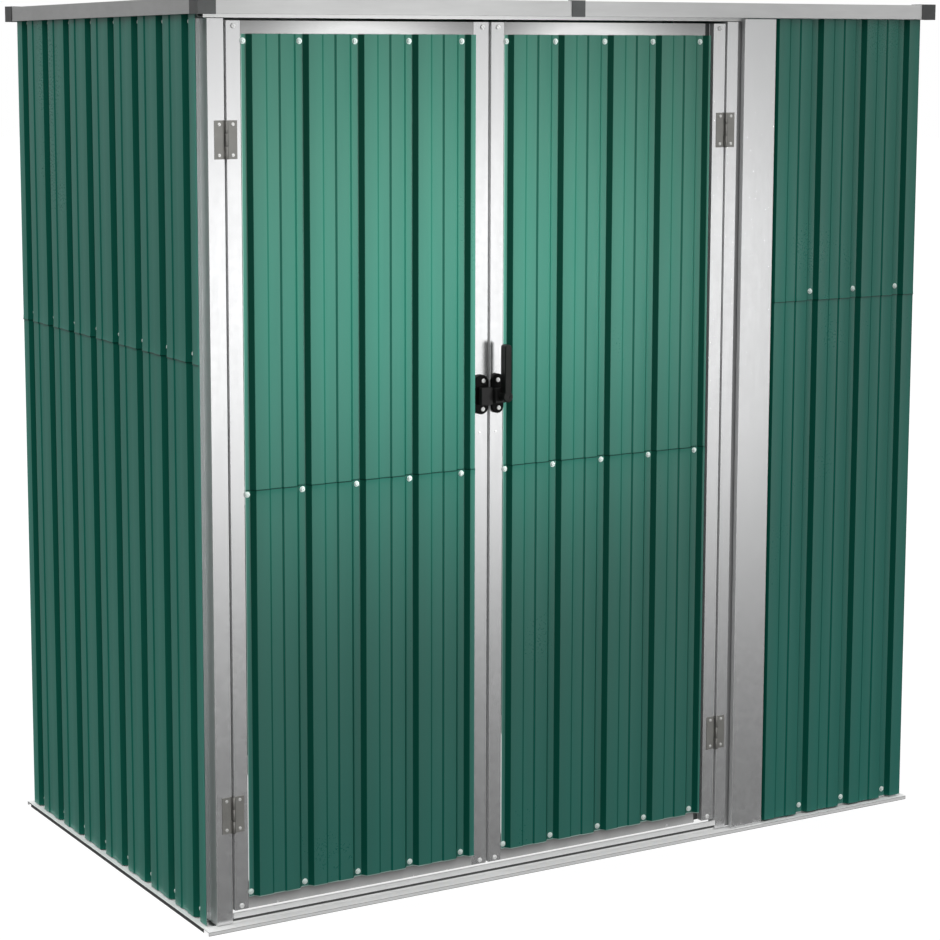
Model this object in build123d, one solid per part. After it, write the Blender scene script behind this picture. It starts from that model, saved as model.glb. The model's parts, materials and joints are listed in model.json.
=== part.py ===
from build123d import *
import math
import os

# Metal storage shed: ribbed steel sheets on a folded galvanised frame, low
# roof with an edge trim, two doors that open outward, a plastic latch.
# Millimetres.  While drawing, X = 0 is the outer edge of the front left post
# and Y = 0 is the front face of the frame; Z = 0 is the ground.  Every piece
# is then shifted so that the plan centre of the whole shed is X = Y = 0.

# ---------------------------------------------------------------- dimensions
PITCH = 120.0          # rib pitch, one screw column each
T = 0.6                # sheet thickness
VALLEY = 10.0          # depth of the screw valleys below the sheet face
VALLEY_FLOOR = 15.5    # width of the valley floor
VALLEY_RUN = 8.0       # width of a valley side
BEAD = 2.2             # depth of the shallow band in the middle of each face
BEAD_RUN = 4.0
BEAD_WIDE = 31.5       # outer width of the shallow band
G = 1.0                # thickness of the folded frame members

X_LEFT = -7.5          # left wall frame plane
X_RIGHT = 1714.0       # right wall frame plane
Y_BACK = 941.0         # back wall frame plane
Z_LAP_LEFT = 1117.0    # lower edge of the upper left wall sheet
Z_LAP_FRONT = 1170.0   # lower edge of the upper front panel sheet

TRIM_X0, TRIM_X1 = -27.5, 1753.5     # outer faces of the roof trim
TRIM_Y0, TRIM_Y1 = -22.0, 985.0
TRIM_Z0, TRIM_Z1 = 1780.0, 1811.0    # at the front
ROOF_FALL = 10.0                     # drop from front to back
JOINT_X = 813.0                      # joint in the front trim and roof

DOOR_Z0, DOOR_Z1 = 34.0, 1768.0
L_DOOR = (39.0, 614.5)               # outer edges of the left door
R_DOOR = (621.0, 1198.4)             # outer edges of the right door
PIN_L_X, PIN_R_X, PIN_Y = 36.5, 1201.2, -4.0
DOOR_SHEET_Z0, DOOR_SHEET_Z1 = 58.0, 1743.0
DOOR_LAP = 872.0                     # upper edge of the lower door sheet

BASE_OUT = 20.0        # how far the base rail stands out of the frame plane

CAP_T = 1.8            # wall of the plastic corner caps
LATCH_Z = 1021.5       # middle of the latch plates
LATCH_T = 8.0          # thickness of the latch plates
LATCH_R = 40.5         # half their height
L_LATCH = (580.0, 613.5)             # edges of the latch plates
R_LATCH = (621.0, 649.0)
LEVER_X, LEVER_Z = 637.5, 1018.0     # lever pivot
LEVER_Y0, LEVER_Y1 = -45.0, -27.0    # front and back of the lever
LEVER_TOP = 1124.5

CX = (TRIM_X0 + TRIM_X1) / 2
CY = (LEVER_Y0 + TRIM_Y1 + CAP_T) / 2

os.makedirs("parts", exist_ok=True)


# ------------------------------------------------------------------- helpers
def save(name, shape):
    shape = Pos(-CX, -CY, 0) * shape
    export_step(shape, f"parts/{name}.step")


def box(x0, x1, y0, y1, z0, z1):
    return Pos((x0 + x1) / 2, (y0 + y1) / 2, (z0 + z1) / 2) * Box(
        abs(x1 - x0), abs(y1 - y0), abs(z1 - z0))


def offset_line(pts, t):
    """Points of an open line moved sideways by t (to its left), mitred."""
    out = []
    n = len(pts)
    for i in range(n):
        dirs = []
        if i > 0:
            dx, dy = pts[i][0] - pts[i - 1][0], pts[i][1] - pts[i - 1][1]
            l = math.hypot(dx, dy)
            dirs.append((dx / l, dy / l))
        if i < n - 1:
            dx, dy = pts[i + 1][0] - pts[i][0], pts[i + 1][1] - pts[i][1]
            l = math.hypot(dx, dy)
            dirs.append((dx / l, dy / l))
        if len(dirs) == 1:
            nx, ny = -dirs[0][1], dirs[0][0]
            out.append((pts[i][0] + nx * t, pts[i][1] + ny * t))
        else:
            n1 = (-dirs[0][1], dirs[0][0])
            n2 = (-dirs[1][1], dirs[1][0])
            bx, by = n1[0] + n2[0], n1[1] + n2[1]
            k = t * 2 / (bx * bx + by * by)
            out.append((pts[i][0] + bx * k, pts[i][1] + by * k))
    return out


def prism_z(poly, z0, z1):
    """Closed XY polygon raised from z0 to z1."""
    face = make_face(Polyline(*[(x, y, z0) for x, y in poly], close=True))
    return extrude(face, amount=z1 - z0, dir=(0, 0, 1))


def prism_x(poly, x0, x1):
    """Closed YZ polygon run from x0 to x1."""
    face = make_face(Polyline(*[(x0, y, z) for y, z in poly], close=True))
    return extrude(face, amount=x1 - x0, dir=(1, 0, 0))


def prism_y(poly, y0, y1):
    """Closed XZ polygon run from y0 to y1."""
    face = make_face(Polyline(*[(x, y0, z) for x, z in poly], close=True))
    return extrude(face, amount=y1 - y0, dir=(0, 1, 0))


def folded(pts, t=G):
    return pts + offset_line(pts, t)[::-1]


def sheet_line(u0, u1, first):
    """Height of the ribbed sheet along its width: valleys at first + k*PITCH."""
    v_half = VALLEY_FLOOR / 2
    knots = []
    k0 = int(math.floor((u0 - first) / PITCH)) - 1
    k1 = int(math.ceil((u1 - first) / PITCH)) + 1
    for k in range(k0, k1 + 1):
        c = first + k * PITCH
        m = c + PITCH / 2
        knots += [(c - v_half - VALLEY_RUN, VALLEY), (c - v_half, 0.0),
                  (c + v_half, 0.0), (c + v_half + VALLEY_RUN, VALLEY),
                  (m - BEAD_WIDE / 2, VALLEY),
                  (m - BEAD_WIDE / 2 + BEAD_RUN, VALLEY - BEAD),
                  (m + BEAD_WIDE / 2 - BEAD_RUN, VALLEY - BEAD),
                  (m + BEAD_WIDE / 2, VALLEY)]

    def height(u):
        for (a, ha), (b, hb) in zip(knots, knots[1:]):
            if a <= u <= b:
                return ha + (hb - ha) * (u - a) / (b - a)
        return VALLEY

    line = [(u0, height(u0))]
    line += [(u, h) for u, h in knots if u0 + 0.6 < u < u1 - 0.6]
    line.append((u1, height(u1)))
    return line


def sheet(side, u0, u1, first, z0, z1, lift=0.0):
    """Ribbed wall sheet.  side says which wall plane it lies on; lift moves it
    outward so that it laps over its neighbour."""
    line = sheet_line(u0, u1, first)
    inner = [(u, h + lift) for u, h in line]
    outer = [(u, h + lift + T) for u, h in line]
    poly = inner + outer[::-1]
    if side == "front":
        poly = [(u, -v) for u, v in poly]
    elif side == "left":
        poly = [(X_LEFT - v, u) for u, v in poly]
    elif side == "right":
        poly = [(X_RIGHT + v, u) for u, v in poly]
    elif side == "back":
        poly = [(u, Y_BACK + v) for u, v in poly]
    return prism_z(poly, z0, z1)


LIFT = T + 0.1

# ---------------------------------------------------------------- base rails
# Sections seen along the rail: first number is the distance outward from the
# frame plane, second the height.
def base_poly():
    o = BASE_OUT
    return [(-24, 0), (-24, G), (-4, G), (-4, 29), (1.5, 29), (1.5, 19),
            (0.5, 19), (0.5, 28), (-3, 28), (-3, 8), (o, 8), (o, 0),
            (o - G, 0), (o - G, 7), (-3, 7), (-3, 0)]


def base_poly_wall():
    """Same rail under a wall sheet: plain upright web."""
    o = BASE_OUT
    return [(-24, 0), (-24, G), (-G, G), (-G, 40), (0, 40), (0, 8), (o, 8),
            (o, 0), (o - G, 0), (o - G, 7), (0, 7), (0, 0)]


base_front = prism_x([(-a, b) for a, b in base_poly()],
                     X_LEFT - BASE_OUT, X_RIGHT + BASE_OUT)
# under the fixed front panel the bead gives way to the sheet
base_front -= box(1204, X_RIGHT + BASE_OUT + 1, -3, 5, 10, 30)
base_front -= box(X_LEFT - BASE_OUT - 1, 35, -3, 5, 10, 30)
base_front -= box(X_RIGHT - 1, X_RIGHT + BASE_OUT + 1, -0.5, 30, 0, 6.9)
base_front -= box(X_LEFT - BASE_OUT - 1, X_LEFT + 1, -0.5, 30, -1, 6.9)
save("base_rail_front", base_front)
base_back = prism_x([(Y_BACK + a, b) for a, b in base_poly_wall()],
                    X_LEFT - BASE_OUT, X_RIGHT + BASE_OUT)
base_back -= box(X_RIGHT - 0.5, X_RIGHT + BASE_OUT + 1,
                 Y_BACK - 30, Y_BACK + 0.5, -1, 6.9)
base_back -= box(X_LEFT - BASE_OUT - 1, X_LEFT + 0.5,
                 Y_BACK - 30, Y_BACK + 0.5, -1, 6.9)
base_back -= box(X_RIGHT + 0.1, X_RIGHT + BASE_OUT + 1,
                 Y_BACK - 30, Y_BACK + 0.5, 8.1, 50)
base_back -= box(X_LEFT - BASE_OUT - 1, X_LEFT - 0.1,
                 Y_BACK - 30, Y_BACK + 0.5, 8.1, 50)
# the webs stop short of the posts
base_back -= box(X_LEFT - 1, X_LEFT + 40.1, Y_BACK - 2, Y_BACK + 0.1, 10, 50)
base_back -= box(X_RIGHT - 40.1, X_RIGHT + 1, Y_BACK - 2, Y_BACK + 0.1, 10, 50)
save("base_rail_back", base_back)
side_y0, side_y1 = 24.5, Y_BACK - 24.5
base_left = prism_y([(X_LEFT - a, b) for a, b in base_poly_wall()],
                    side_y0, side_y1)
base_left -= box(X_LEFT - 0.1, X_LEFT + 2, 0, 72.1, 10, 50)
base_left -= box(X_LEFT - 0.1, X_LEFT + 2, Y_BACK - 40.1, Y_BACK, 10, 50)
# the flange runs on past the web to meet the front and back rails
FLANGE = [(0, 8), (BASE_OUT, 8), (BASE_OUT, 0), (BASE_OUT - G, 0),
          (BASE_OUT - G, 7), (0, 7)]
FLANGE_Y0, FLANGE_Y1 = 4.1, Y_BACK - 1.1
base_left += prism_y([(X_LEFT - a, b) for a, b in FLANGE], FLANGE_Y0, FLANGE_Y1)
save("base_rail_left", base_left)
base_right = prism_y([(X_RIGHT + a, b) for a, b in base_poly_wall()],
                     side_y0, side_y1)
base_right -= box(X_RIGHT - 2, X_RIGHT + 0.1, 0, 40.1, 10, 50)
base_right -= box(X_RIGHT - 2, X_RIGHT + 0.1, Y_BACK - 40.1, Y_BACK, 10, 50)
base_right += prism_y([(X_RIGHT + a, b) for a, b in FLANGE], FLANGE_Y0, FLANGE_Y1)
save("base_rail_right", base_right)

# -------------------------------------------------------------------- posts
POST_Z0, POST_Z1 = 10.2, 1772.0
post_fl = folded([(34, 22), (34, 0), (0, 0), (0, 33), (X_LEFT, 33),
                  (X_LEFT, 72)], -G)
save("corner_post_front_left", prism_z(post_fl, POST_Z0, POST_Z1))
post_fr = folded([(X_RIGHT - 40, 0), (X_RIGHT, 0), (X_RIGHT, 40)], G)
save("corner_post_front_right", prism_z(post_fr, POST_Z0, POST_Z1))
post_bl = folded([(X_LEFT, Y_BACK - 40), (X_LEFT, Y_BACK),
                  (X_LEFT + 40, Y_BACK)], -G)
save("corner_post_back_left", prism_z(post_bl, POST_Z0, POST_Z1 - 10))
post_br = folded([(X_RIGHT - 40, Y_BACK), (X_RIGHT, Y_BACK),
                  (X_RIGHT, Y_BACK - 40)], -G)
save("corner_post_back_right", prism_z(post_br, POST_Z0, POST_Z1 - 10))
# the post steps back beside the fixed panel, behind the cover strip
door_post = folded([(1204, 24), (1204, 0), (1232, 0), (1232, 6), (1249, 6),
                    (1249, 24)], G)
save("door_post", prism_z(door_post, POST_Z0, POST_Z1))
panel_stud = folded([(1250, 24), (1250, 0), (1290, 0)], G)
save("panel_stud", prism_z(panel_stud, POST_Z0, POST_Z1))
strip = folded([(1240.7, -1.0), (1240.7, -12.6), (1322.7, -12.6)], G)
save("cover_strip", prism_z(strip, 9.0, 1778.0))

# ------------------------------------------------------- head and inner rails
head = folded([(24, 1773), (0, 1773), (0, 1798), (24, 1798)], -G)
save("head_rail_front", prism_x(head, X_LEFT, X_RIGHT))


def rail_poly(o, s, z0, z1, depth=24.0):
    """Channel with its web on the wall plane o, open towards the inside."""
    return folded([(o - s * depth, z0), (o, z0), (o, z1), (o - s * depth, z1)],
                  G * s)


top_left = prism_y(rail_poly(X_LEFT, -1, 1773, 1798), 25.0, Y_BACK - 25.0)
top_right = prism_y(rail_poly(X_RIGHT, 1, 1773, 1798), 25.0, Y_BACK - 25.0)
top_back = prism_x(rail_poly(Y_BACK, 1, 1763, 1788), X_LEFT, X_RIGHT)
cut = Pos(0, Y_BACK / 2, 1793 + 20) * (Rot(X=-math.degrees(
    math.atan(ROOF_FALL / (TRIM_Y1 - TRIM_Y0)))) * Box(4000, 1200, 40))
top_left -= cut
top_right -= cut
save("top_rails", Compound([top_left, top_right, top_back]))

mid_left = prism_y(rail_poly(X_LEFT, -1, 1115, 1155), 80.0, Y_BACK - 41.0)
mid_right = prism_y(rail_poly(X_RIGHT, 1, 1115, 1155), 41.0, Y_BACK - 41.0)
mid_back = prism_x(rail_poly(Y_BACK, 1, 1115, 1155), X_LEFT + 41, X_RIGHT - 41)
mid_front = prism_x([(-a, b) for a, b in rail_poly(0, 1, 1170, 1210)],
                    1291, X_RIGHT - 41)
save("mid_rails", Compound([mid_left, mid_right, mid_back, mid_front]))

# ------------------------------------------------------------- wall sheets
LEFT_FIRST = 57.0
L_U0, L_U1 = 12.75, Y_BACK + 0.5
save("wall_left_lower", sheet("left", L_U0, L_U1, LEFT_FIRST, 10, 1150))
save("wall_left_upper",
     sheet("left", L_U0, L_U1, LEFT_FIRST, Z_LAP_LEFT, 1784, LIFT))
save("wall_right_lower", sheet("right", 1.0, L_U1, LEFT_FIRST, 10, 1150))
save("wall_right_upper",
     sheet("right", 1.0, L_U1, LEFT_FIRST, Z_LAP_LEFT, 1784, LIFT))
BACK_FIRST = 76.0
save("wall_back_lower",
     sheet("back", X_LEFT + 1, X_RIGHT - 1, BACK_FIRST, 10, 1150))
save("wall_back_upper",
     sheet("back", X_LEFT + 1, X_RIGHT - 1, BACK_FIRST, Z_LAP_LEFT, 1775, LIFT))
F_FIRST = 1317.5
save("front_panel_lower",
     sheet("front", 1250, 1724, F_FIRST, 12, 1205))
save("front_panel_upper",
     sheet("front", 1250, 1724, F_FIRST, Z_LAP_FRONT, 1779, LIFT))

# -------------------------------------------------------------------- roof
fall = math.degrees(math.atan(ROOF_FALL / (TRIM_Y1 - TRIM_Y0)))


def tilt(shape, z_front=0.0):
    """Lean a level piece so that it falls ROOF_FALL from front to back."""
    return Pos(0, TRIM_Y0, 0) * Rot(X=-fall) * Pos(0, -TRIM_Y0, 0) * shape


def raise_tilt(shape, z_ref):
    return (Pos(0, TRIM_Y0, z_ref) * Rot(X=-fall)
            * Pos(0, -TRIM_Y0, -z_ref) * shape)


def roof_sheet(x0, x1, first, lift=0.0):
    line = sheet_line(x0, x1, first)
    z = 1798.6 + lift
    inner = [(u, z + h) for u, h in line]
    outer = [(u, z + h + T) for u, h in line]
    flat = prism_y(inner + outer[::-1], TRIM_Y0 + 3, TRIM_Y1 - 3)
    return raise_tilt(flat, TRIM_Z0)


save("roof_sheet_left", roof_sheet(TRIM_X0 + 3, JOINT_X - 2, 40.0))
save("roof_sheet_right", roof_sheet(JOINT_X + 2, TRIM_X1 - 3, 40.0 + 7 * PITCH))
joint = folded([(JOINT_X - 22, 1809.4), (JOINT_X + 22, 1809.4)], 0.6)
save("roof_joint_strip",
     raise_tilt(prism_y(joint, TRIM_Y0 + 16, TRIM_Y1 - 16), TRIM_Z0))

# roof trim: channel with its web outward, gripping the roof sheet
TRIM_TOP, TRIM_BOT = 14.0, 7.5
trim_front = folded([(TRIM_Y0 + TRIM_BOT, TRIM_Z0), (TRIM_Y0, TRIM_Z0),
                     (TRIM_Y0, TRIM_Z1), (TRIM_Y0 + TRIM_TOP, TRIM_Z1)], -G)
save("roof_trim_front_left",
     prism_x(trim_front, TRIM_X0 + 15, JOINT_X - 1))
save("roof_trim_front_right",
     prism_x(trim_front, JOINT_X + 1, TRIM_X1 - 15))
zb0, zb1 = TRIM_Z0 - ROOF_FALL, TRIM_Z1 - ROOF_FALL
trim_back = folded([(TRIM_Y1 - TRIM_BOT, zb0), (TRIM_Y1, zb0),
                    (TRIM_Y1, zb1), (TRIM_Y1 - TRIM_TOP, zb1)], G)
save("roof_trim_back", prism_x(trim_back, TRIM_X0 + 15, TRIM_X1 - 15))
trim_l = folded([(TRIM_X0 + TRIM_BOT, TRIM_Z0), (TRIM_X0, TRIM_Z0),
                 (TRIM_X0, TRIM_Z1), (TRIM_X0 + TRIM_TOP, TRIM_Z1)], -G)
save("roof_trim_left",
     raise_tilt(prism_y(trim_l, TRIM_Y0 + 15, TRIM_Y1 - 15), TRIM_Z0))
trim_r = folded([(TRIM_X1 - TRIM_BOT, TRIM_Z0), (TRIM_X1, TRIM_Z0),
                 (TRIM_X1, TRIM_Z1), (TRIM_X1 - TRIM_TOP, TRIM_Z1)], G)
save("roof_trim_right",
     raise_tilt(prism_y(trim_r, TRIM_Y0 + 15, TRIM_Y1 - 15), TRIM_Z0))

# plastic caps on the four trim corners
CAP = 36.0


def corner_cap(cx, cy, sx, sy, dz):
    """Cap round one corner; sx, sy point outward from the shed."""
    z0, z1 = TRIM_Z0 - 1 + dz, TRIM_Z1 + 1.8 + dz
    x_in, y_in = cx - sx * CAP, cy - sy * CAP
    xo, yo = cx + sx * CAP_T, cy + sy * CAP_T
    body = box(x_in, xo, y_in, yo, z0, z1)
    body -= box(x_in - sx * 1, cx + sx * 0.2, y_in - sy * 1, cy + sy * 0.2,
                z0 - 1, z1 - 1.0)
    return body


caps = [corner_cap(TRIM_X0, TRIM_Y0, -1, -1, 0),
        corner_cap(TRIM_X1, TRIM_Y0, 1, -1, 0),
        corner_cap(TRIM_X0, TRIM_Y1, -1, 1, -ROOF_FALL),
        corner_cap(TRIM_X1, TRIM_Y1, 1, 1, -ROOF_FALL)]
save("roof_corner_caps", Compound(caps))

# plastic connectors where the trim lengths meet
con_f = box(JOINT_X - 16, JOINT_X + 16, TRIM_Y0 - 1.8, TRIM_Y0 - 0.1,
            TRIM_Z0 - 1, TRIM_Z1 + 1.6)
con_f += box(JOINT_X - 16, JOINT_X + 16, TRIM_Y0 - 0.2, TRIM_Y0 + 14,
             TRIM_Z1 + 0.2, TRIM_Z1 + 1.6)
save("roof_trim_connector", con_f)

# ------------------------------------------------------------------- hinges
HINGE_Z = (230.0, 1545.0)      # centres
HINGE_H = 73.0
LEAF_T = 1.4
BARREL_R, PIN_R, BORE_R = 3.6, 1.6, 1.66
KNUCKLE = (HINGE_H - 1.0) / 3  # three knuckles with 0.5 mm between them


def hinge_pair(px, post_dir):
    """Returns (fixed leaves with pins, door leaves).  post_dir is the X
    direction from the pin towards the post."""
    fixed, moving = [], []
    for zc in HINGE_Z:
        z0 = zc - HINGE_H / 2
        a0, a1 = z0, z0 + KNUCKLE
        b0, b1 = a1 + 0.5, a1 + 0.5 + KNUCKLE
        c0, c1 = b1 + 0.5, b1 + 0.5 + KNUCKLE
        fx0, fx1 = px + post_dir * 4.2, px + post_dir * 23.5
        leaf = box(fx0, fx1, -LEAF_T, 0, z0, z0 + HINGE_H)
        f = leaf
        for k0, k1 in ((a0, a1), (c0, c1)):
            f += Pos(px, PIN_Y, (k0 + k1) / 2) * Cylinder(BARREL_R, k1 - k0)
            f += box(px, fx0 + post_dir * 0.5, PIN_Y + BARREL_R - LEAF_T,
                     PIN_Y + BARREL_R, k0, k1)
            f += box(fx0, fx0 + post_dir * 1.4, PIN_Y + BARREL_R - LEAF_T, 0,
                     k0, k1)
        f += Pos(px, PIN_Y, zc) * Cylinder(PIN_R, KNUCKLE + 2)
        fixed.append(f)
        mx0, mx1 = px - post_dir * 4.2, px - post_dir * 23.5
        m = box(mx0, mx1, -LEAF_T, 0, z0, z0 + HINGE_H)
        m += Pos(px, PIN_Y, (b0 + b1) / 2) * Cylinder(BARREL_R, b1 - b0)
        m += box(px, mx0 - post_dir * 0.5, PIN_Y + BARREL_R - LEAF_T,
                 PIN_Y + BARREL_R, b0, b1)
        m += box(mx0, mx0 - post_dir * 1.4, PIN_Y + BARREL_R - LEAF_T, 0,
                 b0, b1)
        m -= Pos(px, PIN_Y, zc) * Cylinder(BORE_R, HINGE_H)
        moving.append(m)
    return Compound(fixed), Compound(moving)


fixed_l, moving_l = hinge_pair(PIN_L_X, -1)
fixed_r, moving_r = hinge_pair(PIN_R_X, 1)
save("hinge_leaves_left_post", fixed_l)
save("hinge_leaves_right_post", fixed_r)
save("left_door_hinge_leaves", moving_l)
save("right_door_hinge_leaves", moving_r)

# -------------------------------------------------------------------- doors
STILE_D = 20.0


def stile(x0, x1):
    return prism_z(folded([(x0, STILE_D), (x0, 0), (x1, 0), (x1, STILE_D)], G),
                   DOOR_Z0, DOOR_Z1)


def rail(x0, x1, z0, z1):
    return prism_x(folded([(STILE_D - 2, z0), (0, z0), (0, z1),
                           (STILE_D - 2, z1)], -G), x0, x1)


def door_frame(x0, x1, stile_l, stile_r):
    stiles = Compound([stile(x0, stile_l), stile(stile_r, x1)])
    rails = Compound([rail(stile_l + 0.1, stile_r - 0.1, z0, z1) for z0, z1 in
                      ((DOOR_Z0, 84), (843, 885), (1718, DOOR_Z1))])
    return stiles, rails


def backing(x0, x1):
    """Stile face carried on under the sheet, cut away at the three rails."""
    out = []
    for z0, z1 in ((84.2, 842.8), (885.2, 1717.8)):
        out.append(Pos((x0 + x1) / 2, G / 2, (z0 + z1) / 2)
                   * Box(x1 - x0, G, z1 - z0))
    return out


stiles, rails = door_frame(L_DOOR[0], L_DOOR[1], 68.5, 579.5)
lock_stile = stile(579.5, L_DOOR[1])
for b in backing(541, 580):
    lock_stile += b
stiles = Compound([stile(L_DOOR[0], 68.5), lock_stile])
save("left_door_stiles", stiles)
save("left_door_rails", rails)
stiles, rails = door_frame(R_DOOR[0], R_DOOR[1], 650.6, 1145.9)
# the hinge stile of the right door is set back behind the sheet's edge
stile_step = prism_z(folded([(1147, 0), (1147, 15), (1168, 15), (1168, 0),
                             (R_DOOR[1], 0), (R_DOOR[1], STILE_D)], G),
                     DOOR_Z0, DOOR_Z1)
for b in backing(1121, 1146.5):
    stile_step += b
stiles = Compound([stile(R_DOOR[0], 650.6), stile_step])
save("right_door_stiles", stiles)
save("right_door_rails", rails)
save("left_door_sheet_lower",
     sheet("front", 69.0, 579.0, 72.0, DOOR_SHEET_Z0, DOOR_LAP, LIFT))
save("left_door_sheet_upper",
     sheet("front", 69.0, 579.0, 72.0, 846.0, DOOR_SHEET_Z1))
save("right_door_sheet_lower",
     sheet("front", 651.0, 1153.0, 652.0, DOOR_SHEET_Z0, DOOR_LAP, LIFT))
save("right_door_sheet_upper",
     sheet("front", 651.0, 1153.0, 652.0, 846.0, DOOR_SHEET_Z1))

# -------------------------------------------------------------------- latch
def latch_plate(x0, x1):
    """Upright plate with fully rounded ends and an eased front edge."""
    r = (x1 - x0) / 2
    xc = (x0 + x1) / 2
    z0, z1 = LATCH_Z - LATCH_R + r, LATCH_Z + LATCH_R - r
    plate = box(x0, x1, -LATCH_T, 0, z0, z1)
    for z in (z0, z1):
        plate += Pos(xc, -LATCH_T / 2, z) * Rot(X=90) * Cylinder(r, LATCH_T)
    front = [e for e in plate.edges()
             if abs(e.center().Y + LATCH_T) < 0.01]
    return fillet(front, 2.0)


def eased_block(x0, x1, y0, y1, z0, z1, r):
    """Block whose front and upright edges are rounded."""
    b = box(x0, x1, y0, y1, z0, z1)
    b = fillet([e for e in b.edges()
                if abs(e.center().Y - (y0 + y1) / 2) < 0.01], r)
    return fillet([e for e in b.edges() if abs(e.center().Y - y0) < 0.01], r * 0.8)


keeper = latch_plate(*L_LATCH)
keeper += eased_block(588, 614.5, -22, -LATCH_T + 0.5, 1001, 1037, 2.5)
save("left_latch_half", keeper)
LEVER_PIN_R, LEVER_BORE_R = 4.0, 4.06
LEVER_W = 15.0
LEVER_YC = (LEVER_Y0 + LEVER_Y1) / 2
latch = latch_plate(*R_LATCH)
latch += eased_block(622, 647, -20, -LATCH_T + 0.5, 1003, 1034, 2.5)
latch += Pos(LEVER_X, (-26 - 15) / 2, LEVER_Z) * Rot(X=90) * Cylinder(9, 11)
latch += Pos(LEVER_X, (LEVER_Y0 + 1 - 20) / 2, LEVER_Z) * Rot(X=90) * Cylinder(
    LEVER_PIN_R, -20 - LEVER_Y0 - 1)
save("right_latch_half", latch)
lever = box(LEVER_X - LEVER_W / 2, LEVER_X + LEVER_W / 2, LEVER_Y0, LEVER_Y1,
            LEVER_Z, LEVER_TOP)
lever = fillet([e for e in lever.edges()
                if abs(e.center().Y - LEVER_YC) < 0.01
                and abs(e.center().Z - LEVER_TOP) < 0.01], 6.5)
lever = fillet([e for e in lever.edges()
                if abs(e.center().Y - LEVER_Y0) < 0.01], 2.5)
hub = Pos(LEVER_X, LEVER_YC, LEVER_Z) * Rot(X=90) * Cylinder(
    11, LEVER_Y1 - LEVER_Y0)
hub = fillet([e for e in hub.edges() if abs(e.center().Y - LEVER_Y0) < 0.01
              and e.length > 60], 2.5)
lever += hub
lever -= Pos(LEVER_X, LEVER_YC, LEVER_Z) * Rot(X=90) * Cylinder(
    LEVER_BORE_R, 60)
save("latch_lever", lever)
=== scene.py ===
import bpy
import bmesh
import math
import random
import json
from mathutils import Vector, Matrix, noise


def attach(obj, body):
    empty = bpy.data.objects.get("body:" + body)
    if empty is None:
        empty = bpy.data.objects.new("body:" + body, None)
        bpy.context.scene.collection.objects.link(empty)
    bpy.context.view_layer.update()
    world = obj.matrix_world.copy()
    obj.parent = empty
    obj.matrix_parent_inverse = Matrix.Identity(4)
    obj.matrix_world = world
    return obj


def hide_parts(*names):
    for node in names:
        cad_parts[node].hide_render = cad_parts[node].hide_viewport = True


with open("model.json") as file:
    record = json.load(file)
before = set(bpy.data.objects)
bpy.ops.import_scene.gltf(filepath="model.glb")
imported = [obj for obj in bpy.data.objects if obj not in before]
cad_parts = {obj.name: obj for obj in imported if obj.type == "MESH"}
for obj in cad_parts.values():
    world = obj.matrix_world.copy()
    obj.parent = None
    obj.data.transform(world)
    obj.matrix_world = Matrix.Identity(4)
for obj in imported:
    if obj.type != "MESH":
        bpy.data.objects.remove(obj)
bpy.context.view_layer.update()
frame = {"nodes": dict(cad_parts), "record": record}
nodes = frame["nodes"]
scene = bpy.context.scene
rng = random.Random(7)

# --------------------------------------------------------------- dimensions
# Drawing frame, millimetres: X = 0 at the outer edge of the front left post,
# Y = 0 at the front face of the frame, Z = 0 at the ground.  M() turns a
# drawing point into the row frame in metres.
CX, CY = 863.0, 470.9
PITCH, T, VALLEY = 120.0, 0.6, 10.0
VALLEY_FLOOR, VALLEY_RUN = 15.5, 8.0
BEAD, BEAD_RUN, BEAD_WIDE = 2.2, 4.0, 31.5
G = 1.0
LIFT = T + 0.1
X_LEFT, X_RIGHT, Y_BACK = -7.5, 1714.0, 941.0
TRIM_X0, TRIM_X1, TRIM_Y0, TRIM_Y1 = -27.5, 1753.5, -22.0, 985.0
TRIM_Z0, TRIM_Z1, ROOF_FALL, JOINT_X = 1780.0, 1811.0, 10.0, 813.0
FALL = math.atan(ROOF_FALL / (TRIM_Y1 - TRIM_Y0))


def M(x, y, z):
    return Vector(((x - CX) / 1000, (y - CY) / 1000, z / 1000))


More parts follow.
